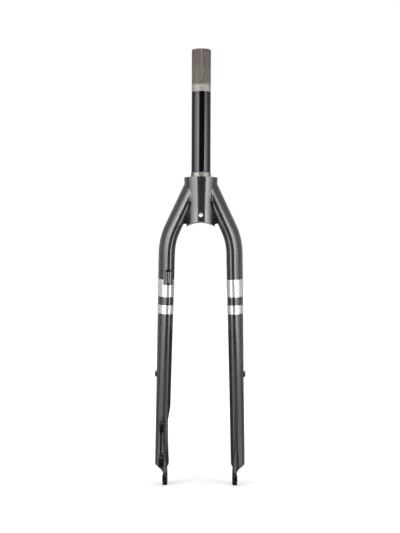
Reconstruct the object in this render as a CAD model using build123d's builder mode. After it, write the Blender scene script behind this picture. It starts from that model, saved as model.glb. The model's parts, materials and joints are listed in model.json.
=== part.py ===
from build123d import *
from math import atan2, cos, hypot, radians, sin, tan
import os

# A rigid steel bicycle fork: threaded steerer, flared crown, bent oval blades, disc brake tab.
# Millimetres. The origin is where the steering axis meets the crown race plane. +Z runs up the steerer,
# +Y points the way the bicycle rides and +X is the rider's right.

# Steering geometry
rake = 50.0  # axle ahead of the steering axis
axle_drop = 458.5  # axle below the crown race plane
hub_width = 100.0  # between the inner faces of the dropouts

# Steerer tube
steerer_diameter = 28.6
steerer_bore = 25.4
steerer_height = 190.7
steerer_chamfer = 0.6
seat_diameter = 30.0  # crown race seat
seat_height = 8.0
keyway_width = 3.4
keyway_depth = 0.9
keyway_length = 48.0

# Crown
crown_rim_diameter = 50.5
crown_rim_edge = 0.8
crown_skirt_diameter = 42.4
crown_taper = 46.0  # height of the flare
crown_blend = 80.0  # radius that runs the flare into the skirt
crown_depth = 73.4
crown_wall = 3.2
crown_web = 12.0  # solid top around the foot of the steerer
arch_radius = 34.0  # tyre arch in the bottom of the skirt
arch_drop = 66.3
cross_hole_diameter = 7.0
cross_hole_drop = 56.0

# Blades
blade_width = 23.4  # oval section under the crown
blade_depth = 36.5
blade_turn = 18.0  # rear end of the oval turned inwards
blade_tip_diameter = 21.0  # the oval tapers to a round tip
blade_wall = 1.6
blade_root_drop = 25.0  # where the plane of the blades crosses the steering axis
dropout_lead = 13.0  # axle ahead of the plane of the blades
shoulder_angle = 25.2  # upper run, out from the middle of that plane
knee_reach = 50.3  # steering axis to the corner of the two runs
knee_drop = 67.7  # root to that corner
bend_radius = 92.0
taper_start = 42.0  # corner to the start of the taper
tip_height = 25.5  # blade tip above the axle
tip_outset = 7.8  # middle of the tip outside the inner face of the dropout
weld_radius = 2.2
seat_gap = 0.05  # between pieces that are welded or stuck together

# Rotor clearance, pressed into the inner side of the left blade
dimple_depth = 3.4
dimple_start = 253.0  # below the corner of the blade
dimple_entry = 22.0
dimple_floor = 33.0  # flat stretch, parallel to the rotor
dimple_blend = 40.0
dimple_height = 3.0  # lower end above the blade tip

# Dropouts
dropout_thickness = 6.0
axle_slot_width = 9.2
axle_pad_radius = 14.0
slot_mouth_drop = 8.3  # bottom edge below the axle
plug_length = 15.0
plug_gap = 0.1
inner_shoulder = 4.5  # tip down to the inner face
outer_shoulder = 9.4  # tip down to the outer face
shoulder_blend = 11.0
neck_width = 15.0
lip_height = 1.3  # wheel retention lips
lip_depth = 3.0
lip_bore_radius = 9.5
eyelet_setback = 19.0  # mudguard eyelet behind the axle
eyelet_rise = 3.5
eyelet_diameter = 11.0
eyelet_hole = 4.2
eyelet_proud = 1.1

# Disc brake tab
tab_inset = 4.0  # inner face outside the inner face of the dropout
tab_thickness = 6.0
tab_setback = 50.0  # holes behind the axle
tab_rise = 35.5  # lower hole above the axle
tab_spacing = 51.0
tab_hole = 6.4
tab_lobe_radius = 9.0
tab_root_rise = 22.0  # top of the root above the upper hole
tab_root_drop = 5.0  # bottom of the root below the lower hole
tab_window_radius = 18.0
tab_window_setback = 13.0

# Hose guide
guide_diameter = 8.0
guide_bore = 5.2
guide_slot = 3.0
guide_length = 18.5
guide_start = 46.0  # below the corner of the blade
guide_angle = 9.0  # inward from straight behind
guide_foot_width = 6.0

# Rack bosses
boss_diameter = 9.5
boss_hole = 4.2
boss_proud = 2.4
boss_root = 1.5  # reach inside the blade wall
boss_edge = 0.6
boss_start = 203.0  # below the corner of the blade

# Reflective bands
band_thickness = 0.2
upper_band_start = 58.5  # below the corner of the blade
upper_band_width = 26.3
lower_band_start = 97.2
lower_band_width = 13.2
band_notch_margin = 2.0  # bare paint around the hose guide

LEFT = -1
RIGHT = 1
SIDE_NAMES = {LEFT: "left", RIGHT: "right"}

# Both blades lie in one plane that leans forward below the crown
lean = atan2(rake - dropout_lead, axle_drop - blade_root_drop)
blade_plane = Plane(origin=(0, 0, -blade_root_drop), x_dir=(1, 0, 0), z_dir=(0, -cos(lean), -sin(lean)))
shoulder_rise = knee_reach / tan(radians(shoulder_angle))
tip_drop = (axle_drop - tip_height - blade_root_drop) / cos(lean)
tip_reach = hub_width / 2 + tip_outset
turn = radians(blade_turn)
blade_length = Vector(tip_reach - knee_reach, tip_drop - knee_drop).length


def blade_knee(side):
    """Corner between the upper and lower run of a blade."""
    return blade_plane.from_local_coords(Vector(side * knee_reach, -knee_drop))


def blade_tip(side):
    """Middle of the end of a blade."""
    return blade_plane.from_local_coords(Vector(side * tip_reach, -tip_drop))


def blade_run(side):
    """Direction of the lower run, downwards."""
    return (blade_tip(side) - blade_knee(side)).normalized()


def blade_section(side, place, run):
    """Plane across a blade, with its x axis along the oval to the front."""
    square = Plane(origin=place, x_dir=blade_plane.z_dir * -1, z_dir=run)
    return Plane(origin=place, x_dir=square.x_dir * cos(turn) + square.y_dir * side * sin(turn), z_dir=run)


def blade_station(side, distance):
    """Plane across the lower run at a distance below the corner."""
    return blade_section(side, blade_knee(side) + blade_run(side) * distance, blade_run(side))


def blade_radii(distance):
    """Long and short radius of the oval at a distance below the corner."""
    share = max(0, distance - taper_start) / (blade_length - taper_start)
    long_radius = (blade_depth + (blade_tip_diameter - blade_depth) * share) / 2
    short_radius = (blade_width + (blade_tip_diameter - blade_width) * share) / 2
    return long_radius, short_radius


def blade_half_width(distance):
    """Furthest that a blade reaches sideways from its axis."""
    long_radius, short_radius = blade_radii(distance)
    return hypot(long_radius * sin(turn), short_radius * cos(turn))


def blade_reach(distance, angle):
    """Axis to skin, in a direction given by its angle inwards from straight behind."""
    long_radius, short_radius = blade_radii(distance)
    off = radians(angle) - turn
    return long_radius * short_radius / hypot(short_radius * cos(off), long_radius * sin(off))


def blade_form(side, inset):
    """Solid outer form of a blade, up past the crown, drawn in by an inset all round."""
    top = blade_plane.from_local_coords(Vector(0, shoulder_rise - knee_drop))
    taper = blade_station(side, taper_start)
    long_radius = blade_depth / 2 - inset
    short_radius = blade_width / 2 - inset
    with BuildPart() as form:
        with BuildLine() as upper_run:
            FilletPolyline(top, blade_knee(side), taper.origin, radius=bend_radius)
        with BuildSketch(blade_section(side, upper_run.line @ 0, upper_run.line % 0)):
            Ellipse(long_radius, short_radius)
        sweep(path=upper_run.line)
        with BuildSketch(taper):
            Ellipse(long_radius, short_radius)
        with BuildSketch(blade_station(side, blade_length)):
            Circle(blade_tip_diameter / 2 - inset)
        loft()
        if side == LEFT:
            floor_start = dimple_start + dimple_entry
            floor_end = floor_start + dimple_floor
            dimple_end = blade_length - dimple_height
            floor = blade_half_width(floor_start) - dimple_depth
            splay = (tip_reach - knee_reach) / (tip_drop - knee_drop)
            start_edge = (dimple_start, blade_half_width(dimple_start) - inset)
            end_edge = (dimple_end, blade_half_width(dimple_end) - inset)
            # Lengthways section through the blade: x runs down it and y runs inwards
            across = Plane(origin=blade_knee(LEFT), x_dir=blade_run(LEFT), z_dir=blade_plane.z_dir)
            with BuildSketch(across):
                with BuildLine():
                    FilletPolyline(
                        start_edge,
                        (floor_start, floor - inset),
                        (floor_end, floor + splay * dimple_floor - inset),
                        end_edge,
                        radius=dimple_blend,
                    )
                    Polyline(
                        end_edge,
                        (dimple_end, blade_depth),
                        (dimple_start, blade_depth),
                        start_edge,
                    )
                make_face()
            extrude(amount=blade_depth, both=True, mode=Mode.SUBTRACT)
    return form.part


def crown_blank(grow):
    """Outer form of the crown, solid, grown by a gap on its radius."""
    rim = crown_rim_diameter / 2 + grow
    skirt = crown_skirt_diameter / 2 + grow
    with BuildPart() as blank:
        with BuildSketch(Plane.XZ):
            with BuildLine():
                FilletPolyline((rim, 0), (skirt, -crown_taper), (skirt, -crown_depth), radius=crown_blend)
                Polyline((skirt, -crown_depth), (0, -crown_depth), (0, 0), (rim, 0))
            make_face()
        revolve(axis=Axis.Z)
    return blank.part


def boss_plane(side):
    """Plane on the axis of a blade at its rack boss, facing outwards."""
    return Plane(origin=blade_station(side, boss_start).origin, z_dir=(side, 0, 0))


def make_steerer():
    """Steerer with its race seat, keyway and the foot that stands in the crown."""
    outside = steerer_diameter / 2
    bore = steerer_bore / 2
    seat = seat_diameter / 2
    with BuildPart() as steerer:
        with BuildSketch(Plane.XZ):
            with BuildLine():
                Polyline(
                    (bore, -crown_web),
                    (outside, -crown_web),
                    (outside, 0),
                    (seat, 0),
                    (seat, seat_height),
                    (outside, seat_height),
                    (outside, steerer_height),
                    (bore, steerer_height),
                    close=True,
                )
            make_face()
        revolve(axis=Axis.Z)
        top_edges = steerer.edges().filter_by(GeomType.CIRCLE).group_by(Axis.Z)[-1]
        chamfer(top_edges.sort_by(SortBy.RADIUS)[-1], length=steerer_chamfer)
        with BuildSketch(Plane.XZ.offset(outside - keyway_depth)):
            with Locations((0, steerer_height)):
                SlotCenterToCenter(2 * keyway_length - keyway_width, keyway_width, rotation=90)
        extrude(amount=seat_diameter, mode=Mode.SUBTRACT)
    return steerer.part


def make_crown():
    """Flared crown tube, closed around the steerer and arched over the tyre."""
    blank = crown_blank(0)
    skirt = crown_skirt_diameter / 2
    rim_slope = (crown_skirt_diameter - crown_rim_diameter) / 2 / crown_taper
    under_web = crown_rim_diameter / 2 + rim_slope * crown_web
    with BuildPart() as crown:
        add(blank)
        chamfer(crown.edges().filter_by(GeomType.CIRCLE).sort_by(Axis.Z)[-1], length=crown_rim_edge)
        with BuildSketch(Plane.XZ):
            with BuildLine():
                Polyline(
                    (0, -crown_web),
                    (under_web - crown_wall, -crown_web),
                    (skirt - crown_wall, -crown_taper),
                    (skirt - crown_wall, -crown_depth),
                    (0, -crown_depth),
                    close=True,
                )
            make_face()
        revolve(axis=Axis.Z, mode=Mode.SUBTRACT)
        Hole(steerer_diameter / 2 + seat_gap)
        with BuildSketch(Plane.XZ):
            with Locations((0, -arch_drop - arch_radius)):
                Circle(arch_radius)
            with Locations((0, -cross_hole_drop)):
                Circle(cross_hole_diameter / 2)
        extrude(amount=crown_rim_diameter, both=True, mode=Mode.SUBTRACT)
    return crown.part


def make_blade(side):
    """Hollow blade, mitred to the crown with its weld, and bored for the rack boss."""
    outside = blade_form(side, 0)
    inside = blade_form(side, blade_wall)
    crown = crown_blank(0)
    crown_seat = crown_blank(seat_gap)
    with BuildPart() as blade:
        add(outside)
        split(bisect_by=Plane.XY, keep=Keep.BOTTOM)
        add(crown)
        fillet(blade.edges(Select.NEW), radius=weld_radius)
        add(crown_seat, mode=Mode.SUBTRACT)
        add(inside, mode=Mode.SUBTRACT)
        with BuildSketch(boss_plane(side)):
            Circle(boss_diameter / 2 + seat_gap)
        extrude(amount=blade_depth, mode=Mode.SUBTRACT)
    return blade.part


def make_dropout(side):
    """Forged end: a plug in the blade, a shouldered head, and a plate with axle slot, lips and eyelet."""
    plug = blade_form(side, blade_wall + plug_gap)
    tip = blade_tip(side)
    inner_face = side * hub_width / 2
    outer_face = side * (hub_width / 2 + dropout_thickness)
    tip_radius = blade_tip_diameter / 2
    inner_edge = tip.X - side * tip_radius
    outer_edge = tip.X + side * tip_radius
    inner_slope = (inner_edge - inner_face) / inner_shoulder
    outer_slope = (outer_edge - outer_face) / outer_shoulder
    head_length = outer_shoulder + shoulder_blend
    head_foot = tip.Z - head_length
    over = tip_radius  # the outline of the head runs past the tip by this much
    eyelet = (rake - eyelet_setback, eyelet_rise - axle_drop)
    through = dropout_thickness + lip_height + eyelet_proud
    pad_width = 2 * axle_pad_radius

    with BuildPart() as head:
        with BuildSketch(blade_station(side, blade_length)):
            Circle(tip_radius)
        extrude(amount=head_length)
        with BuildSketch(Plane.XZ):
            with BuildLine():
                FilletPolyline(
                    (outer_edge + outer_slope * over, tip.Z + over),
                    (outer_face, tip.Z - outer_shoulder),
                    (outer_face, head_foot),
                    radius=shoulder_blend,
                )
                Polyline(
                    (outer_face, head_foot),
                    (inner_face, head_foot),
                    (inner_face, tip.Z - inner_shoulder),
                    (inner_edge + inner_slope * over, tip.Z + over),
                    (outer_edge + outer_slope * over, tip.Z + over),
                )
            make_face()
        extrude(amount=rake + axle_pad_radius, both=True, mode=Mode.INTERSECT)

    with BuildPart() as dropout:
        add(plug)
        split(bisect_by=blade_station(side, blade_length - plug_length), keep=Keep.TOP)
        add(head.part)
        with BuildSketch(Plane.YZ.offset(inner_face)):
            with Locations((rake, -axle_drop)):
                Circle(axle_pad_radius)
            with Locations((tip.Y, tip.Z - inner_shoulder)):
                Rectangle(neck_width, inner_shoulder, align=(Align.CENTER, Align.MAX))
            make_hull()
            with Locations(eyelet):
                Circle(eyelet_diameter / 2)
        extrude(amount=side * dropout_thickness)
        with BuildSketch(Plane.YZ.offset(outer_face)):
            with Locations(eyelet):
                Circle(eyelet_diameter / 2)
        extrude(amount=side * eyelet_proud)
        with BuildSketch(Plane.YZ.offset(outer_face)):
            with Locations((rake, -axle_drop)):
                Circle(axle_pad_radius)
                Circle(lip_bore_radius, mode=Mode.SUBTRACT)
            with Locations((rake, -axle_drop - slot_mouth_drop + lip_depth)):
                Rectangle(
                    pad_width, 2 * pad_width, align=(Align.CENTER, Align.MIN), mode=Mode.SUBTRACT
                )
        extrude(amount=side * lip_height)
        with BuildSketch(Plane.YZ.offset(inner_face)):
            with Locations((rake, -axle_drop)):
                Circle(axle_slot_width / 2)
                Rectangle(axle_slot_width, pad_width, align=(Align.CENTER, Align.MAX))
            with Locations((rake, -axle_drop - slot_mouth_drop)):
                Rectangle(pad_width, pad_width, align=(Align.CENTER, Align.MAX))
            with Locations(eyelet):
                Circle(eyelet_hole / 2)
        extrude(amount=side * through, mode=Mode.SUBTRACT)
    return dropout.part


def make_disc_tab():
    """Two-hole brake plate, seated on the back of the left blade."""
    blade_seat = blade_form(LEFT, -seat_gap)
    inner_face = -hub_width / 2 - tab_inset
    low_hole = (rake - tab_setback, tab_rise - axle_drop)
    high_hole = (rake - tab_setback, tab_rise + tab_spacing - axle_drop)
    window = (rake - tab_setback - tab_window_setback, tab_rise + tab_spacing / 2 - axle_drop)
    root_top = high_hole[1] + tab_root_rise
    root_bottom = low_hole[1] - tab_root_drop
    with BuildPart() as tab:
        with BuildSketch(Plane.YZ.offset(inner_face)):
            with BuildLine():
                Line(
                    (-(root_top + blade_root_drop) * tan(lean), root_top),
                    (-(root_bottom + blade_root_drop) * tan(lean), root_bottom),
                )
            with Locations(low_hole, high_hole):
                Circle(tab_lobe_radius)
            make_hull()
            with Locations(low_hole, high_hole):
                Circle(tab_hole / 2, mode=Mode.SUBTRACT)
            with Locations(window):
                Circle(tab_window_radius, mode=Mode.SUBTRACT)
        extrude(amount=-tab_thickness)
        add(blade_seat, mode=Mode.SUBTRACT)
    return tab.part


def guide_plane(distance):
    """Plane across the left blade with its x axis towards the hose guide."""
    across = blade_station(LEFT, distance)
    back = turn - radians(guide_angle)
    away = across.x_dir * cos(back) + across.y_dir * sin(back)
    return Plane(origin=across.origin, x_dir=away * -1, z_dir=across.z_dir)


def make_hose_guide():
    """Open clip for the brake hose, on a foot that seats on the left blade."""
    blade_seat = blade_form(LEFT, -seat_gap)
    middle = blade_reach(guide_start, guide_angle) + guide_diameter / 2
    with BuildPart() as guide:
        with BuildSketch(guide_plane(guide_start)):
            Rectangle(middle, guide_foot_width, align=(Align.MIN, Align.CENTER))
            with Locations((middle, 0)):
                Circle(guide_diameter / 2)
                Circle(guide_bore / 2, mode=Mode.SUBTRACT)
                Rectangle(
                    guide_diameter, guide_slot, align=(Align.MIN, Align.CENTER), mode=Mode.SUBTRACT
                )
        extrude(amount=guide_length)
        add(blade_seat, mode=Mode.SUBTRACT)
    return guide.part


def make_rack_boss(side):
    """Threaded boss through the outer wall of a blade."""
    wall = blade_reach(boss_start, -90)
    start = wall - blade_wall - boss_root
    with BuildPart() as boss:
        with BuildSketch(boss_plane(side).offset(start)):
            Circle(boss_diameter / 2)
            Circle(boss_hole / 2, mode=Mode.SUBTRACT)
        extrude(amount=wall + boss_proud - start)
        outer_edges = boss.edges().filter_by(GeomType.CIRCLE).sort_by(Axis.X)
        rim = outer_edges[-2:] if side == RIGHT else outer_edges[:2]
        chamfer(rim.sort_by(SortBy.RADIUS)[-1], length=boss_edge)
    return boss.part


def make_band(side, start, width, notched):
    """Thin sleeve around a blade, cut away around the hose guide where it meets it."""
    outside = blade_form(side, -seat_gap - band_thickness)
    blade_seat = blade_form(side, -seat_gap)
    with BuildPart() as band:
        add(outside)
        split(bisect_by=blade_station(side, start), keep=Keep.TOP)
        split(bisect_by=blade_station(side, start + width), keep=Keep.BOTTOM)
        add(blade_seat, mode=Mode.SUBTRACT)
        if notched:
            with BuildSketch(guide_plane(guide_start - band_notch_margin)):
                Rectangle(
                    blade_depth, guide_diameter + 2 * band_notch_margin, align=(Align.MIN, Align.CENTER)
                )
            extrude(amount=guide_length + 2 * band_notch_margin, mode=Mode.SUBTRACT)
    return band.part


pieces = {
    "steerer_tube": make_steerer(),
    "crown": make_crown(),
    "disc_brake_tab": make_disc_tab(),
    "hose_guide": make_hose_guide(),
}
for side, name in SIDE_NAMES.items():
    pieces[f"{name}_blade"] = make_blade(side)
    pieces[f"{name}_dropout"] = make_dropout(side)
    pieces[f"{name}_rack_boss"] = make_rack_boss(side)
    pieces[f"{name}_upper_band"] = make_band(side, upper_band_start, upper_band_width, side == LEFT)
    pieces[f"{name}_lower_band"] = make_band(side, lower_band_start, lower_band_width, False)

os.makedirs("parts", exist_ok=True)
for name, piece in pieces.items():
    piece.label = name
    export_step(piece, f"parts/{name}.step")
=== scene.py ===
import json
from math import asin, cos, hypot, pi, radians, sin, sqrt, tau

import bmesh
import bpy
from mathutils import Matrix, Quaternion, Vector
from mathutils.bvhtree import BVHTree


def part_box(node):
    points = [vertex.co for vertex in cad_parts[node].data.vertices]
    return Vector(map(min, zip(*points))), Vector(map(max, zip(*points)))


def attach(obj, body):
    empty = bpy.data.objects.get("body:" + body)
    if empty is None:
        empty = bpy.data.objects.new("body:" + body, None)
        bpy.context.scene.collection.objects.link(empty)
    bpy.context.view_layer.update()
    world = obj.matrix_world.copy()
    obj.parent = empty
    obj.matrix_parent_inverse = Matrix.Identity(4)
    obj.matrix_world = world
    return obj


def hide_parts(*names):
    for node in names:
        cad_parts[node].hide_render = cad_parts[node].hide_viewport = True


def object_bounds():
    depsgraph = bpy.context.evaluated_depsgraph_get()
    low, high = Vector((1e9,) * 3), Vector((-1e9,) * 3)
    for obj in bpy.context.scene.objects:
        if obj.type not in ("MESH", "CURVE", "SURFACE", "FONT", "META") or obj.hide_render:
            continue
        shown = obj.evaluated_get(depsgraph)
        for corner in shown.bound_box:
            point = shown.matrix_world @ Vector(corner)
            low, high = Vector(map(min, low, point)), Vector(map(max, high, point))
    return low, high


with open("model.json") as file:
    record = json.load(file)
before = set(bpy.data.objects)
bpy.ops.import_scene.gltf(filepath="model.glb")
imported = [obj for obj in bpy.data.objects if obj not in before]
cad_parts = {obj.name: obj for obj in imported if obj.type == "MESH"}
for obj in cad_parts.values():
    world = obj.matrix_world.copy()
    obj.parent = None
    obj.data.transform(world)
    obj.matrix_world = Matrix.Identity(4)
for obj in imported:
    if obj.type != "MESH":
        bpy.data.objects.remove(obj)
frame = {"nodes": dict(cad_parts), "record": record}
cad_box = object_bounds()
nodes = frame["nodes"]

# Lengths are in metres, and angles in degrees unless said otherwise
MM = 0.001
ground = cad_box[0].z
sides = (("left", -1), ("right", 1))
merge_distance = 1e-7  # points closer than this become one

# Steerer: its height, its foot and the radius of its race seat are those of the solid
steerer_low, steerer_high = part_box("steerer_tube")
seat_radius = steerer_high.x
steerer_top = steerer_high.z
steerer_foot = steerer_low.z
skin_radius = 14.3 * MM
bore_radius = 12.7 * MM
seat_top = 8.0 * MM
seat_edge = 0.3 * MM
seat_lead = 1.1 * MM  # painted slope above the bare seat
paint_top = 127.5 * MM
paint_thickness = 0.06 * MM
thread_start = 137.4 * MM
thread_pitch = 25.4 / 26 * MM
thread_depth = 0.6 * MM
thread_runout = 1.6 * MM
thread_form = (0.0, 0.5, 1.0, 1.0, 0.5, 0.0)  # share of the depth over one pitch
thread_spare = 2  # extra turns, so that the climbing rows cover both ends
thread_merge = 0.5e-6  # closes the rows that the top and the start of the thread press together
top_chamfer = 0.6 * MM
keyway_half = 1.7 * MM
keyway_depth = 0.9 * MM
keyway_end = steerer_top - 48.0 * MM
keyway_deep = 0.7  # share of the depth from which a face counts as the keyway's floor
skin_steps = 120
keyway_steps = 4
paint_zone, ring_zone, thread_zone, seat_zone, keyway_zone = range(5)  # order of the steerer's materials

# Colours of the thread: brown at its foot, then greener, then purple brown
thread_brown = (141.6 * MM, 142.6 * MM)
thread_purple = (155.0 * MM, 175.0 * MM)

# Crown: the edge of its rim, sharper than the solid's chamfer
crown_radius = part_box("crown")[1].x
rim_radius = 25.25 * MM
rim_break = 0.12 * MM
rim_drop = 1.0 * MM  # how far the edge reaches down the crown's side
rim_land = 1.2 * MM  # how far it reaches in over the crown's top
rim_sink = 0.2 * MM
rim_lift = 0.01 * MM
rim_taper = 0.01 * MM
rim_tuck = 0.03 * MM  # how far its foot lies inside the crown's skin
rim_steps = 180

# Weld beads between the crown and the blades
blade_knee = Vector((50.3, 5.757, -92.455)) * MM
blade_run = Vector((-0.426, -0.077, 0.902)).normalized()  # up the right blade from its knee
bead_station = 30.0 * MM  # plain section of the blade, up from the knee
seam_steps = 180
seam_reach = 40.0 * MM  # clear of the blade's skin at that section
seam_back = 5.0 * MM  # how far below it the lines up to the crown start
bead_half = 2.6 * MM
bead_height = 0.3 * MM
bead_sink = 0.08 * MM
ripple_height = 0.75 * MM
ripple_pitch = 4.2 * MM
ripple_bow = 0.35  # share of the pitch by which a ripple bends back at the bead's sides
bead_tops = (-24.0 * MM, -34.0 * MM)  # dressed flush above the first, full below the second
bead_step = 0.3 * MM
bead_reach = 4  # steps each way that give the bead's direction
bead_rows = 10
cast_height = 16.0 * MM

# Disc brake tab: thick bosses on a thinner web
# Its places are ahead of the steering axis and above the race plane
tab_web = (-59.8 * MM, -55.4 * MM)
tab_bevel = (1.6 * MM, 0.75 * MM)  # width and depth of the bevel on the web's inner edge
tab_holes = (-372.0 * MM, -423.0 * MM)
tab_bosses = (  # outer face, inner face and radius
    (-60.4 * MM, -53.6 * MM, 9.0 * MM),
    (-61.4 * MM, -53.8 * MM, 9.6 * MM),
)
tab_lobe = 8.4 * MM
tab_bore = 3.2 * MM
tab_seat = 5.5 * MM  # hole in the web round which a boss is set
tab_roots = ((17.9 * MM, -362.0 * MM), (24.9 * MM, -429.1 * MM))
tab_arcs = (95.0, 277.0)  # where the web's slopes leave the two lobes
tab_window = 5.0 * MM  # depth and corner radius of the window between them
boss_edge = 0.6 * MM
lobe_steps = (16, 22)
corner_steps = 8
seat_steps = 24
boss_steps = 60

# Hose clip, on the axis of the record's mount for the hose
clip_radius = 3.6 * MM
clip_bore = 2.6 * MM
clip_slot = 1.4 * MM  # half the width of its side opening
clip_turn = -105.0  # where it opens, from straight behind towards the wheel
clip_shift = -1.2 * MM  # towards the outside of the blade
clip_ends = (-7.5 * MM, 9.3 * MM)
clip_edge = 0.3 * MM
clip_steps = 60
clip_shade = 0.008  # of the collar's near-black matt surface
collar_radius = 4.4 * MM
collar_height = 2.2 * MM
saddle_span = (-5.8 * MM, 7.4 * MM)
saddle_ends = (-11.7 * MM, 9.0 * MM)
saddle_thickness = 0.5 * MM
saddle_sink = 0.3 * MM
saddle_steps = 24

# Paint: painted shade below these heights on the dropouts, the tab and the weld beads
foot_shade_top = -445.5 * MM
tab_shade_top = 0.0
weld_shade_top = -36.0 * MM
shade_fade = (-1.0 * MM, 0.5 * MM)  # where the change starts and ends, from that height

# Textures
noise_range = (0.3, 0.7)  # where most of the noise lies
wave_bands = 3  # about how many bands the wave texture has in a unit

# Camera, behind the fork as in the photo
camera_distance = 1.6
camera_height = -132.4 * MM
camera_aside = -0.9 * MM
camera_roll = -0.0038  # in radians
camera_lens = 72.38

# Studio: angles run round the steering axis, from the camera's direction to its right
panel_steps = 32
box_distance = 0.95
left_box = (-25.0, -96.0)
left_heights = (0.18, 0.42)  # heights where its light changes, with its top last
left_glow = (5.5, 0.2, 1.35)  # at the inner edge, at the outer edge, and how late it fades
left_rise = (0.55, 1.3, 0.6)  # share of that light at the floor and at those heights
right_box = (35.0, 92.0)
right_heights = (0.125, 0.2, 0.28, 0.42)
right_glow = (7.0, 0.4, 0.8)
right_rise = (0.85, 1.2, 1.05, 0.7, 0.15)
corner_distance = 0.92
corner_card = (  # angle and height of the corners of a flag before the right box
    (30.0, 0.05),
    (35.0, 0.05),
    (40.0, 0.125),
    (42.0, 0.2),
    (45.0, 0.45),
    (30.0, 0.45),
)
felt_shades = {"black": 0.01, "dark": 0.05, "slate": 0.2, "grey": 0.22, "silver": 0.36, "pale": 0.7}
felt_weave = 1.3  # how much lighter the brightest threads are
mat_lift = 1.0 * MM
runner_reach = (0.2, 0.62, 2.1)  # grey, then black
mat_place = (57.0 * MM, 30.0 * MM)  # each blade's foot, aside and ahead of the steering axis
mat_span = (-22.0, 18.0)
mat_reach = (0.004, 0.14, 0.3)  # dark, then grey
side_reach = (0.3, 0.93)
front_span = (86.0, 274.0)
front_reach = (0.004, 1.1)
gap_card = (  # height, rear edge and front edge, from its foot to its top
    (-466.0 * MM, 15.0 * MM, 130.0 * MM),
    (-235.0 * MM, -17.6 * MM, 117.7 * MM),
    (-90.0 * MM, -38.0 * MM, 110.0 * MM),
)
card_distance = 2.1
card_span = (-42.0, 42.0)
card_top = 1.1
flag_distance = 1.1
flag_span = (97.0, 168.0)
flag_top = 0.7
top_light_height = 1.5
top_light_size = 1.6
top_light_strength = 1.5
ambient = 0.35
floor_size = 30.0
floor_glow = (0.28, 0.9)  # near the fork and far away
floor_shadow_room = (0.35, 0.9)  # the floor turns plain white between these distances from the fork


def add_node(tree, kind, inputs=None, **settings):
    """A shader node with its settings, and its sockets set to a value or linked to another socket."""
    made = tree.nodes.new(kind)
    for name, value in settings.items():
        setattr(made, name, value)
    for socket, value in (inputs or {}).items():
        if isinstance(value, bpy.types.NodeSocket):
            tree.links.new(value, made.inputs[socket])
        else:
            made.inputs[socket].default_value = value
    return made


def new_material(name, **sockets):
    """A material with a principled shader, whose plain values are set on its own sockets."""
    material = bpy.data.materials.new(name)
    material.use_nodes = True
    tree = material.node_tree
    shader = tree.nodes["Principled BSDF"]
    for socket, value in sockets.items():
        shader.inputs[socket.replace("_", " ")].default_value = value
    place = add_node(tree, "ShaderNodeTexCoord").outputs["Object"]
    return material, tree, shader, place


def connect(tree, shader, **sockets):
    """Links values that vary over the surface to the sockets of a shader."""
    for socket, value in sockets.items():
        tree.links.new(value, shader.inputs[socket.replace("_", " ")])


def height_of(tree, place):
    """Height above the race plane."""
    return add_node(tree, "ShaderNodeSeparateXYZ", {"Vector": place}).outputs["Z"]


def noise(tree, place, size, detail=3.0):
    """Noise that runs from about 0 to 1, with its grain given in metres."""
    inputs = {"Vector": place, "Scale": 1 / size, "Detail": detail}
    return add_node(tree, "ShaderNodeTexNoise", inputs).outputs["Fac"]


def cells(tree, place, size):
    """Cells of a size in metres: a random share for each one, and the distance from its middle."""
    made = add_node(tree, "ShaderNodeTexVoronoi", {"Vector": place, "Scale": 1 / size}).outputs
    share = add_node(tree, "ShaderNodeSeparateColor", {"Color": made["Color"]}).outputs["Red"]
    return share, made["Distance"]


def ramp(tree, value, start, end, low=0.0, high=1.0, smooth=False):
    """A value taken from one range to another, and held at its ends."""
    inputs = {"Value": value, "From Min": start, "From Max": end, "To Min": low, "To Max": high}
    kind = "SMOOTHSTEP" if smooth else "LINEAR"
    return add_node(tree, "ShaderNodeMapRange", inputs, interpolation_type=kind).outputs["Result"]


def patchy(tree, place, size, low, high, detail=3.0):
    """A value that drifts between two others in patches of a size."""
    return ramp(tree, noise(tree, place, size, detail), *noise_range, low, high)


def calculate(tree, operation, first, second):
    """A sum or product of two values, held between 0 and 1."""
    inputs = {0: first, 1: second}
    return add_node(tree, "ShaderNodeMath", inputs, operation=operation, use_clamp=True).outputs["Value"]


def blend(tree, share, first, second):
    """A colour between two others."""
    made = add_node(tree, "ShaderNodeMix", data_type="RGBA")
    tree.links.new(share, made.inputs["Factor"])
    for socket, value in (("A", first), ("B", second)):
        target = next(s for s in made.inputs if s.name == socket and s.type == "RGBA")
        if isinstance(value, bpy.types.NodeSocket):
            tree.links.new(value, target)
        else:
            target.default_value = (*value, 1)
    return next(s for s in made.outputs if s.type == "RGBA")


def bump(tree, height, depth):
    """A bumped normal, with the depth of the relief in metres."""
    inputs = {"Height": height, "Distance": depth, "Strength": 1.0}
    return add_node(tree, "ShaderNodeBump", inputs).outputs["Normal"]


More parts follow.
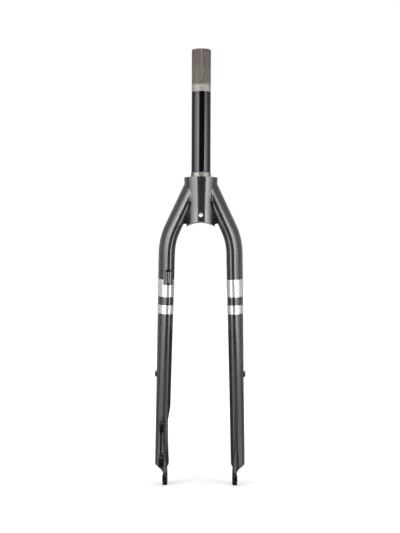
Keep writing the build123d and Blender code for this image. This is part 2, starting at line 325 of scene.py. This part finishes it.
def charcoal_paint(name, shade_top=None):
    """Dark metallic paint: fine flakes under a clear coat with orange peel. Given a height, it has a
    lower specular level all over and painted shade below that height.
    """
    dark_flake = (0.031, 0.031, 0.034)
    bright_flake = (0.06, 0.06, 0.065)
    shaded_flake = (0.01, 0.01, 0.011)
    shaded_coat = 0.25
    material, tree, shader, place = new_material(
        name,
        Metallic=0.6,
        Specular_IOR_Level=0.5 if shade_top is None else 0.25,
        Coat_Weight=1.0,
        Coat_Roughness=0.04,
        Coat_IOR=1.5,
    )
    flake, _ = cells(tree, place, size=0.45 * MM)
    colour = blend(tree, flake, dark_flake, bright_flake)
    # Painted shade: below the height the flakes turn near black and the coat thins
    if shade_top is not None:
        start, end = (shade_top + fade for fade in shade_fade)
        bright = ramp(tree, height_of(tree, place), start, end)
        colour = blend(tree, bright, shaded_flake, colour)
        connect(tree, shader, Coat_Weight=ramp(tree, bright, 0.0, 1.0, low=shaded_coat))
    connect(
        tree,
        shader,
        Base_Color=colour,
        Roughness=patchy(tree, place, size=6 * MM, low=0.2, high=0.26),
        Normal=bump(tree, flake, depth=0.012 * MM),
        Coat_Normal=bump(tree, noise(tree, place, size=2.4 * MM, detail=1.0), depth=0.012 * MM),
    )
    return material


def black_paint():
    """Deep black gloss paint with a little orange peel."""
    deep = (0.0025, 0.0025, 0.0035)
    faded = (0.004, 0.004, 0.0055)
    material, tree, shader, place = new_material("black_paint", Specular_IOR_Level=0.5)
    connect(
        tree,
        shader,
        Base_Color=blend(tree, noise(tree, place, size=4 * MM), deep, faded),
        Roughness=patchy(tree, place, size=8 * MM, low=0.05, high=0.09),
        Normal=bump(tree, noise(tree, place, size=2.2 * MM, detail=1.0), depth=0.008 * MM),
    )
    return material


def turned_steel(name, light, dark, smooth, rough, line):
    """Bare turned steel: fine lathe lines round it and a patchy film of oil."""
    material, tree, shader, place = new_material(name, Metallic=1.0)
    oil = patchy(tree, place, size=3.5 * MM, low=0.0, high=1.0, detail=4.0)
    lines = add_node(
        tree,
        "ShaderNodeTexWave",
        {"Vector": place, "Scale": 1 / (wave_bands * line), "Distortion": 1.5, "Detail": 2.0},
        bands_direction="Z",
    ).outputs["Fac"]
    connect(
        tree,
        shader,
        Base_Color=blend(tree, oil, light, dark),
        Roughness=patchy(tree, place, size=1.2 * MM, low=smooth, high=rough),
        Normal=bump(tree, lines, depth=0.015 * MM),
    )
    return material


def thread_steel():
    """Cut thread: oily grey brown steel, purple brown at the top, greener below and rusty at its foot."""
    green, purple = (0.2, 0.196, 0.16), (0.175, 0.149, 0.142)
    green_crest, purple_crest = (0.34, 0.332, 0.27), (0.31, 0.265, 0.255)
    rust = (0.31, 0.262, 0.223)
    oil = (0.185, 0.163, 0.15)
    material, tree, shader, place = new_material("thread_steel", Metallic=0.85)
    height = height_of(tree, place)
    upper = ramp(tree, height, *thread_purple, smooth=True)
    crests = blend(tree, upper, green_crest, purple_crest)
    above_foot = ramp(tree, height, *thread_brown, smooth=True)
    steel = blend(tree, above_foot, rust, blend(tree, upper, green, purple))
    patches = patchy(tree, place, size=5 * MM, low=0.0, high=0.7, detail=5.0)
    specks = patchy(tree, place, size=2.6 * MM, low=0.0, high=0.8, detail=1.0)
    connect(
        tree,
        shader,
        Base_Color=blend(tree, specks, blend(tree, patches, steel, oil), crests),
        Roughness=patchy(tree, place, size=0.9 * MM, low=0.62, high=0.78),
        Normal=bump(tree, noise(tree, place, size=0.4 * MM), depth=0.03 * MM),
    )
    return material


def silver_film():
    """Reflective film: a bright metal layer of fine cells under a clear face."""
    grey = (0.72, 0.72, 0.72)
    bright = (0.8, 0.8, 0.8)
    material, tree, shader, place = new_material(
        "silver_film", Metallic=0.7, Coat_Weight=0.4, Coat_Roughness=0.08, Coat_IOR=1.45
    )
    share, reach = cells(tree, place, size=0.9 * MM)
    connect(
        tree,
        shader,
        Base_Color=blend(tree, share, grey, bright),
        Roughness=patchy(tree, place, size=5 * MM, low=0.17, high=0.22),
        Normal=bump(tree, reach, depth=0.015 * MM),
    )
    return material


def matt(name, shade):
    """Matt stuff, such as the near-black collar of the hose clip and the felt of the cards, mats and
    flags.
    """
    material, tree, shader, place = new_material(name, Roughness=1.0, Specular_IOR_Level=0.0)
    weave = noise(tree, place, size=20 * MM)
    connect(tree, shader, Base_Color=blend(tree, weave, (shade,) * 3, (felt_weave * shade,) * 3))
    return material


def around(radius, turn, height, middle=(0.0, 0.0)):
    """A place round a middle, with its turn in radians from straight behind to the right."""
    return middle[0] + radius * sin(turn), middle[1] - radius * cos(turn), height


def new_object(name, mesh, materials):
    """An object of the scene from a finished mesh."""
    data = bpy.data.meshes.new(name)
    mesh.to_mesh(data)
    mesh.free()
    for material in materials:
        data.materials.append(material)
    made = bpy.data.objects.new(name, data)
    bpy.context.scene.collection.objects.link(made)
    return made


def add_piece(name, mesh, materials, crease):
    """A piece of the fork made here, which rides with the whole."""
    bmesh.ops.recalc_face_normals(mesh, faces=mesh.faces)
    for face in mesh.faces:
        face.smooth = True
    made = new_object(name, mesh, materials)
    made.data.set_sharp_from_angle(angle=radians(crease))
    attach(made, "root")
    return made


def join_rings(mesh, rings, closed):
    """Faces between rings of vertices, the rings themselves closed or open."""
    count = len(rings[0])
    for a, b in zip(rings, rings[1:]):
        for i in range(count if closed else count - 1):
            j = (i + 1) % count
            mesh.faces.new((a[i], a[j], b[j], b[i]))


def join_loops(mesh, loops, closed):
    """Faces between loops of points, the loops themselves closed in a ring or open."""
    rings = [[mesh.verts.new(point) for point in loop] for loop in loops]
    join_rings(mesh, rings, closed)
    return rings


def bar(loops):
    """A closed bar through loops of points, with a face at each end."""
    mesh = bmesh.new()
    rings = join_loops(mesh, loops, True)
    mesh.faces.new(rings[0])
    mesh.faces.new(rings[-1])
    return mesh


def fill_face(mesh, x, loops):
    """A flat face across the fork, with the first loop as its outline and the others as its holes."""
    edges = []
    for loop in loops:
        verts = [mesh.verts.new((x, y, z)) for y, z in loop]
        edges += [mesh.edges.new(pair) for pair in zip(verts, verts[1:] + verts[:1])]
    bmesh.ops.triangle_fill(mesh, edges=edges, use_beauty=True)


def thread_height(row, angle):
    """Height of a row of the thread, which climbs one pitch in each turn."""
    climb = thread_start + thread_pitch * (row / len(thread_form) + angle / tau - 1)
    return min(max(climb, thread_start), steerer_top)


def thread_radius(row, height):
    """Skin of the thread, running out at its foot and held by the chamfer at the top."""
    runout = min(1.0, (height - thread_start) / thread_runout)
    cut = thread_depth * thread_form[row % len(thread_form)] * runout
    return min(skin_radius - cut, skin_radius - top_chamfer + steerer_top - height)


def keyway_radius(angle, height, skin):
    """Skin inside the keyway: its flat floor above the round end, and the plain skin below."""
    aside = min(keyway_half, abs(skin_radius * sin(angle)))
    end = keyway_end + keyway_half - sqrt(keyway_half**2 - aside**2)
    floor = (skin_radius - keyway_depth) / cos(angle)
    return min(skin, floor) if height > end else skin


def steerer_columns():
    """Angles in radians from straight behind, first for the skin and then for the floor of the keyway."""
    edge = asin(keyway_half / skin_radius)
    skin = [edge + (tau - 2 * edge) * step / skin_steps for step in range(skin_steps + 1)]
    keyway = [edge * (2 * step / keyway_steps - 1) for step in range(keyway_steps + 1)]
    return [(angle, False) for angle in skin] + [(angle + tau, True) for angle in keyway]


def steerer_profile():
    """Height and radius of the plain parts: down the bore, round the foot and up to the thread."""
    painted = skin_radius
    bare = skin_radius - paint_thickness
    return [
        (steerer_top, bore_radius),
        (steerer_foot, bore_radius),
        (steerer_foot, bare),
        (0.0, bare),
        (0.0, seat_radius - seat_edge),
        (seat_edge, seat_radius),
        (seat_top - seat_lead, seat_radius),
        (seat_top, painted),
        (paint_top, painted),
        (paint_top + paint_thickness, bare),
        (thread_start, skin_radius),
    ]


def steerer_zone(place):
    """Which material a face of the steerer takes."""
    in_keyway = abs(place.x) < keyway_half and place.y < 0 and place.z > keyway_end
    if in_keyway and hypot(place.x, place.y) < skin_radius - keyway_deep * keyway_depth:
        return keyway_zone
    if place.z > thread_start:
        return thread_zone
    if place.z > paint_top:
        return ring_zone
    return paint_zone if place.z > seat_top - seat_lead else seat_zone


def make_steerer(materials):
    """Steerer with its cut thread, keyway and painted, bare and turned zones."""
    columns = steerer_columns()
    mesh = bmesh.new()
    rings = []
    for height, radius in steerer_profile():
        rings.append([mesh.verts.new(around(radius, angle, height)) for angle, _ in columns])
    turns = (steerer_top - thread_start) / thread_pitch + thread_spare
    for row in range(int(turns * len(thread_form))):
        ring = []
        for angle, in_keyway in columns:
            height = thread_height(row, angle % tau)
            radius = thread_radius(row, height)
            if in_keyway:
                radius = keyway_radius(angle, height, radius)
            ring.append(mesh.verts.new(around(radius, angle, height)))
        rings.append(ring)
    join_rings(mesh, rings + rings[:1], True)
    bmesh.ops.remove_doubles(mesh, verts=mesh.verts, dist=thread_merge)
    for face in mesh.faces:
        face.material_index = steerer_zone(face.calc_center_median())
    steerer = add_piece("steerer", mesh, materials, crease=32)
    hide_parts("steerer_tube")


def make_rim(material):
    """Sharp edge of the crown's rim, set over the chamfer of the solid."""
    profile = [
        (crown_radius - rim_tuck, -rim_drop),
        (rim_radius - rim_taper, -rim_break),
        (rim_radius - rim_break, rim_lift),
        (rim_radius - rim_land, rim_lift),
        (rim_radius - rim_land, -rim_sink),
    ]
    mesh = bmesh.new()
    turns = [tau * step / rim_steps for step in range(rim_steps)]
    join_loops(mesh, [[around(r, turn, z) for turn in turns] for r, z in profile], True)
    add_piece("crown_rim_edge", mesh, [material], crease=30)


def seam_points(side, crown, blade):
    """Where the lines along the skin of a blade meet the crown, with the way out of the corner there."""
    flip = Vector((side, 1, 1))
    run = blade_run * flip
    start = blade_knee * flip + run * bead_station
    aside = run.orthogonal().normalized()
    points = []
    for step in range(seam_steps):
        out = Quaternion(run, tau * step / seam_steps) @ aside
        skin, skin_normal, _, _ = blade.ray_cast(start + out * seam_reach, -out)
        place, crown_normal, _, _ = crown.ray_cast(skin - run * seam_back, run)
        if place is not None:
            points.append((place, (skin_normal + crown_normal).normalized()))
    return points


def even_steps(points, step):
    """The same loop of points at even steps."""
    loop = points + points[:1]
    spaced, left = [], 0.0
    for (a, na), (b, nb) in zip(loop, loop[1:]):
        length = (b - a).length
        while left < length:
            spaced.append((a.lerp(b, left / length), na.lerp(nb, left / length).normalized()))
            left += step
        left -= length
    return spaced


def make_bead(name, side, material, crown, blade):
    """Rippled weld bead along the seam of a blade, laid on the skins of the crown and the blade."""
    seam = even_steps(seam_points(side, crown, blade), bead_step)
    count = len(seam)
    mesh = bmesh.new()
    loops = []
    for i, (place, out) in enumerate(seam):
        along = (seam[(i + bead_reach) % count][0] - seam[i - bead_reach][0]).normalized()
        across = along.cross(out).normalized()
        full = min(1.0, max(0.0, (bead_tops[0] - place.z) / (bead_tops[0] - bead_tops[1])))
        loop = []
        for row in range(bead_rows + 1):
            share = 2 * row / bead_rows - 1
            above = place + out * cast_height + across * share * bead_half
            hits = [skin.ray_cast(above, -out, 2 * cast_height) for skin in (crown, blade)]
            depth = min([hit[3] for hit in hits if hit[0] is not None], default=cast_height)
            ripple = abs(sin(pi * (i * bead_step / ripple_pitch + ripple_bow * share**2)))
            rise = full * (1 - share**2) * (bead_height + ripple_height * ripple)
            sink = bead_sink * (share**2 - (1 - full))
            loop.append(above - out * (depth - rise + sink))
        loops.append(loop)
    join_loops(mesh, loops + loops[:1], False)
    bmesh.ops.remove_doubles(mesh, verts=mesh.verts, dist=merge_distance)
    add_piece(name, mesh, [material], crease=60)


def make_beads(material):
    """Weld beads of both blades."""
    graph = bpy.context.evaluated_depsgraph_get()
    crown = BVHTree.FromObject(nodes["crown"], graph)
    for name, side in sides:
        blade = BVHTree.FromObject(nodes[name + "_blade"], graph)
        make_bead(name + "_weld_bead", side, material, crown, blade)


def arc(middle, radius, start, end, steps):
    """Points on an arc in the side view, with angles from straight ahead to straight up."""
    turns = [radians(start + (end - start) * step / steps) for step in range(steps + 1)]
    return [(middle[0] + radius * cos(turn), middle[1] + radius * sin(turn)) for turn in turns]


def circle(middle, radius, steps):
    """Points on a full circle in the side view."""
    return arc(middle, radius, 0, 360, steps)[:-1]


def tab_outline(window):
    """Side view of the tab's web: its roots on the blade, two lobes and the open window between them."""
    high, low = tab_holes
    upper = arc((0, high), tab_lobe, tab_arcs[0], 270, lobe_steps[0])
    window_top = arc((0, high - tab_lobe - window), window, 90, 0, corner_steps)
    window_bottom = arc((0, low + tab_lobe + window), window, 0, -90, corner_steps)
    lower = arc((0, low), tab_lobe, 90, tab_arcs[1], lobe_steps[1])
    return [tab_roots[0], *upper, *window_top[1:], *window_bottom[:-1], *lower, tab_roots[1]]


def add_boss(mesh, height, outer, inner, radius):
    """A bored boss of the tab, with its edges broken."""
    profile = [
        (outer, tab_bore),
        (outer, radius - boss_edge),
        (outer + boss_edge, radius),
        (inner - boss_edge, radius),
        (inner, radius - boss_edge),
        (inner, tab_bore),
        (outer, tab_bore),
    ]
    rings = [[(x, y, z) for y, z in circle((0, height), r, boss_steps)] for x, r in profile]
    join_loops(mesh, rings, True)


def make_tab(dark, bright):
    """Disc brake tab: two bored bosses on a web, all in paint with painted shade except for the bevel on
    the web's inner edge, which keeps the lit paint of the fork for its highlight.
    """
    outer, inner = tab_web
    width, depth = tab_bevel
    plain = tab_outline(tab_window)
    bevelled = tab_outline(tab_window + depth)
    holes = [circle((0, height), tab_seat, seat_steps) for height in tab_holes]
    materials = [dark, bright]
    mesh = bmesh.new()
    bevel = [(inner - width, plain), (inner, bevelled)]
    edge = [(outer, plain), (inner - width, plain)]
    bores = [[(outer, hole), (inner, hole)] for hole in holes]
    for wall in (bevel, edge, *bores):
        join_loops(mesh, [[(x, y, z) for y, z in outline] for x, outline in wall], True)
    mesh.faces.ensure_lookup_table()
    # The bevel keeps the lit paint, so that it stands out as a highlight against the painted shade of the
    # tab
    for face in mesh.faces[: len(plain)]:  # those of the bevel, made first
        face.material_index = materials.index(bright)
    fill_face(mesh, outer, [plain, *holes])
    fill_face(mesh, inner, [bevelled, *holes])
    for height, boss in zip(tab_holes, tab_bosses):
        add_boss(mesh, height, *boss)
    bmesh.ops.remove_doubles(mesh, verts=mesh.verts, dist=merge_distance)
    tab = add_piece("brake_tab", mesh, materials, crease=20)
    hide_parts("disc_brake_tab")


def clip_frame():
    """Middle of the hose clip, its axis, the way out behind it and the way towards the wheel."""
    mount = next(mount for mount in frame["record"]["mounts"] if mount["name"] == "hose_guide")
    middle = Vector(mount["pos_m"])
    axis = Vector(mount["axis"]).normalized()
    away = middle - blade_knee * Vector((-1, 1, 1))
    away = (away - axis * away.dot(axis)).normalized()
    return middle, axis, away, axis.cross(away)


def make_ring(name, material, radius, ends, shift):
    """A ring of the hose clip, open at its side, with its outer edges broken."""
    middle, axis, away, aside = clip_frame()
    low, high = ends
    section = [
        (clip_bore, low),
        (radius - clip_edge, low),
        (radius, low + clip_edge),
        (radius, high - clip_edge),
        (radius - clip_edge, high),
        (clip_bore, high),
    ]
    loops = []
    for step in range(clip_steps + 1):
        loop = []
        for reach, height in section:
            lip = asin(clip_slot / reach)
            turn = radians(clip_turn) + lip + (tau - 2 * lip) * step / clip_steps
            off = aside * (shift + reach * sin(turn)) + away * reach * cos(turn)
            loop.append(middle + off + axis * height)
        loops.append(loop)
    return add_piece(name, bar(loops), [material], crease=30)


def make_saddle(material):
    """Foot of the hose clip, draped on the back of the left blade."""
    middle, axis, away, aside = clip_frame()
    blade = BVHTree.FromObject(nodes["left_blade"], bpy.context.evaluated_depsgraph_get())
    left, right = saddle_span
    under, over = -saddle_sink, saddle_thickness
    loops = []
    for step in range(saddle_steps + 1):
        place = left + (right - left) * step / saddle_steps
        loop = []
        for height, lifts in zip(saddle_ends, ((under, over), (over, under))):
            start = middle + aside * place + axis * height + away * cast_height
            skin, normal, _, _ = blade.ray_cast(start, -away)
            loop += [skin + normal * lift for lift in lifts]
        loops.append(loop)
    add_piece("hose_clip_foot", bar(loops), [material], crease=30)


def make_clip(paint, dark):
    """Hose clip: an open ring with a dark collar, on a foot."""
    high = clip_ends[1]
    clip = make_ring("hose_clip", paint, clip_radius, clip_ends, clip_shift)
    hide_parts("hose_guide")
    make_ring("hose_clip_collar", dark, collar_radius, (high, high + collar_height), shift=0.0)
    make_saddle(paint)


def paint_nodes(materials):
    """Gives every solid its own material, or that of its slot in the record."""
    for part in frame["record"]["subparts"]:
        shown = nodes[part["node"]]
        shown.data.materials.clear()
        shown.data.materials.append(materials.get(part["node"], materials[part["material_slot"]]))


def stage_object(name, mesh, material):
    """A thing of the studio that isn't part of the fork."""
    made = new_object(name, mesh, [material])
    return made


def hide_card(card):
    """Leaves a card to the reflections alone."""
    card.visible_camera = False
    card.visible_shadow = False
    card.visible_diffuse = False


def flat_card(name, material, corners):
    """A flat card through its corners."""
    mesh = bmesh.new()
    mesh.faces.new([mesh.verts.new(corner) for corner in corners])
    hide_card(stage_object(name, mesh, material))


def curved_panel(name, material, span, edges, glow=(0.0, 0.0, 1.0), rise=None, middle=(0.0, 0.0)):
    """A panel on an arc round a middle, through edges given by distance and height, that may glow."""
    mesh = bmesh.new()
    layer = mesh.verts.layers.float.new("glow")
    inner, outer, late = glow
    rails = []
    for step in range(panel_steps + 1):
        share = step / panel_steps
        turn = radians(span[0] + (span[1] - span[0]) * share)
        rail = []
        for (distance, height), level in zip(edges, rise or (1.0,) * len(edges)):
            corner = mesh.verts.new(around(distance, turn, height, middle))
            corner[layer] = level * (inner + (outer - inner) * share**late)
            rail.append(corner)
        rails.append(rail)
    join_rings(mesh, rails, False)
    panel = stage_object(name, mesh, material)
    panel.visible_camera = False
    return panel


def upright(distance, *heights):
    """Edges of an upright panel, from the floor to its top."""
    return [(distance, height) for height in (ground, *heights)]


def floor_mat(name, material, span, reach, middle=(0.0, 0.0)):
    """A thin mat on the floor that takes its glare off the paint."""
    edges = [(distance, ground + mat_lift) for distance in reach]
    hide_card(curved_panel(name, material, span, edges, middle=middle))


def soft_light():
    """Light of a soft box, as strong as the panel's own glow says."""
    material = bpy.data.materials.new("soft_light")
    material.use_nodes = True
    tree = material.node_tree
    tree.nodes.clear()
    glow = add_node(tree, "ShaderNodeAttribute", attribute_name="glow").outputs["Fac"]
    light = add_node(tree, "ShaderNodeEmission", {"Strength": glow}).outputs["Emission"]
    add_node(tree, "ShaderNodeOutputMaterial", {"Surface": light})
    return material


def seen_share(tree):
    """1 for rays that show the background, straight or in a reflection, and 0 for the rest."""
    path = add_node(tree, "ShaderNodeLightPath").outputs
    seen = calculate(tree, "ADD", path["Is Camera Ray"], path["Is Glossy Ray"])
    return calculate(tree, "ADD", seen, path["Is Transmission Ray"])


def make_floor():
    """Pale floor under the fork, which keeps its shadow."""
    dim = (0.86, 0.86, 0.86)
    pale = (0.9, 0.9, 0.9)
    material, tree, shader, place = new_material(
        "pale_floor", Roughness=0.9, Specular_IOR_Level=0.0, Emission_Color=(1, 1, 1, 1)
    )
    away = add_node(tree, "ShaderNodeVectorMath", {"Vector": place}, operation="LENGTH").outputs["Value"]
    white = ramp(tree, away, *floor_shadow_room, *floor_glow, smooth=True)
    connect(
        tree,
        shader,
        Base_Color=blend(tree, noise(tree, place, size=0.3), dim, pale),
        Emission_Strength=calculate(tree, "MULTIPLY", seen_share(tree), white),
    )
    mesh = bmesh.new()
    bmesh.ops.create_grid(mesh, x_segments=1, y_segments=1, size=floor_size / 2)
    floor = stage_object("floor", mesh, material)
    floor.location.z = ground


def make_world():
    """White all round where it is seen, and soft fill light for the rest."""
    world = bpy.data.worlds.new("studio")
    bpy.context.scene.world = world
    world.use_nodes = True
    tree = world.node_tree
    background = tree.nodes["Background"]
    background.inputs["Color"].default_value = (1, 1, 1, 1)
    connect(tree, background, Strength=ramp(tree, seen_share(tree), 0.0, 1.0, low=ambient))


def make_boxes(light):
    """Two tall soft boxes beside the camera."""
    left_edges = upright(box_distance, *left_heights)
    right_edges = upright(box_distance, *right_heights)
    curved_panel("left_box", light, left_box, left_edges, left_glow, left_rise)
    curved_panel("right_box", light, right_box, right_edges, right_glow, right_rise)


def make_mats(felts):
    """Mats on the floor, between the boxes, before them and round the blades' feet."""
    aside, ahead = mat_place
    lane = (left_box[0], right_box[0])
    floor_mat("grey_runner", felts["grey"], lane, runner_reach[:2])
    floor_mat("black_runner", felts["black"], lane, runner_reach[1:])
    floor_mat("left_side_mat", felts["pale"], left_box, side_reach)
    floor_mat("right_side_mat", felts["pale"], right_box, side_reach)
    floor_mat("front_mat", felts["grey"], front_span, front_reach, (0.0, ahead))
    for name, side in sides:
        foot = (side * aside, ahead)
        floor_mat(name + "_near_mat", felts["dark"], mat_span, mat_reach[:2], foot)
        floor_mat(name + "_mat", felts["grey"], mat_span, mat_reach[1:], foot)


def gap_corners(foot, top):
    """Corners of a card in the wheel gap, which the inner sides of the blades reflect."""
    low, low_rear, low_front = foot
    high, high_rear, high_front = top
    return [(0, low_rear, low), (0, low_front, low), (0, high_front, high), (0, high_rear, high)]


def make_cards(felts):
    """Cards and flags between, before and behind the boxes."""
    curved_panel("black_card", felts["black"], card_span, upright(card_distance, card_top))
    corners = [around(corner_distance, radians(angle), height) for angle, height in corner_card]
    flat_card("corner_flag", felts["black"], corners)
    flat_card("lower_middle_card", felts["dark"], gap_corners(*gap_card[:2]))
    flat_card("upper_middle_card", felts["slate"], gap_corners(*gap_card[1:]))
    for name, side in sides:
        span = [side * angle for angle in flag_span]
        curved_panel(name + "_flag", felts["silver"], span, upright(flag_distance, flag_top))


def make_top_light():
    """Soft light overhead."""
    lamp = bpy.data.lights.new("top_light", "AREA")
    lamp.shape = "SQUARE"
    lamp.size = top_light_size
    lamp.energy = top_light_strength * pi * top_light_size**2
    top = bpy.data.objects.new("top_light", lamp)
    top.location = (0, 0, top_light_height)
    top.visible_camera = False
    bpy.context.scene.collection.objects.link(top)


def make_camera():
    """Camera behind the fork, level but for a slight roll."""
    data = bpy.data.cameras.new("camera")
    data.lens = camera_lens
    camera = bpy.data.objects.new("camera", data)
    camera.location = (camera_aside, -camera_distance, camera_height)
    camera.rotation_euler = (pi / 2, camera_roll, 0)
    bpy.context.scene.collection.objects.link(camera)
    bpy.context.scene.camera = camera


charcoal = charcoal_paint("charcoal_paint")
black = black_paint()
# The dropouts' paint, with painted shade on their feet
foot_paint = charcoal_paint("dropout_paint", foot_shade_top)
paint_nodes(
    {
        "charcoal_paint": charcoal,
        "black_paint": black,
        "silver_film": silver_film(),
        "left_dropout": foot_paint,
        "right_dropout": foot_paint,
    }
)
bare_ring = turned_steel(
    "bare_ring",
    light=(0.4, 0.385, 0.365),
    dark=(0.29, 0.278, 0.264),
    smooth=0.6,
    rough=0.76,
    line=0.3 * MM,
)
race_seat = turned_steel(
    "race_seat",
    light=(0.26, 0.256, 0.24),
    dark=(0.21, 0.206, 0.19),
    smooth=0.4,
    rough=0.48,
    line=0.25 * MM,
)
keyway_steel = turned_steel(
    "keyway_steel",
    light=(0.27, 0.26, 0.243),
    dark=(0.2, 0.19, 0.175),
    smooth=0.6,
    rough=0.75,
    line=0.4 * MM,
)
make_steerer([black, bare_ring, thread_steel(), race_seat, keyway_steel])
# The tab in paint with painted shade all over, and its bevel in the lit paint
make_tab(charcoal_paint("tab_paint", tab_shade_top), charcoal)
make_clip(charcoal, matt("clip_black_matt", clip_shade))
make_rim(charcoal)
# Weld beads in paint with painted shade below a height, for the shade in the crotch between the crown and
# the blades
make_beads(charcoal_paint("weld_paint", weld_shade_top))
make_floor()
make_world()
felts = {name: matt(name + "_felt", shade) for name, shade in felt_shades.items()}
make_boxes(soft_light())
make_mats(felts)
make_cards(felts)
make_top_light()
make_camera()
bpy.context.scene.view_settings.view_transform = "Standard"
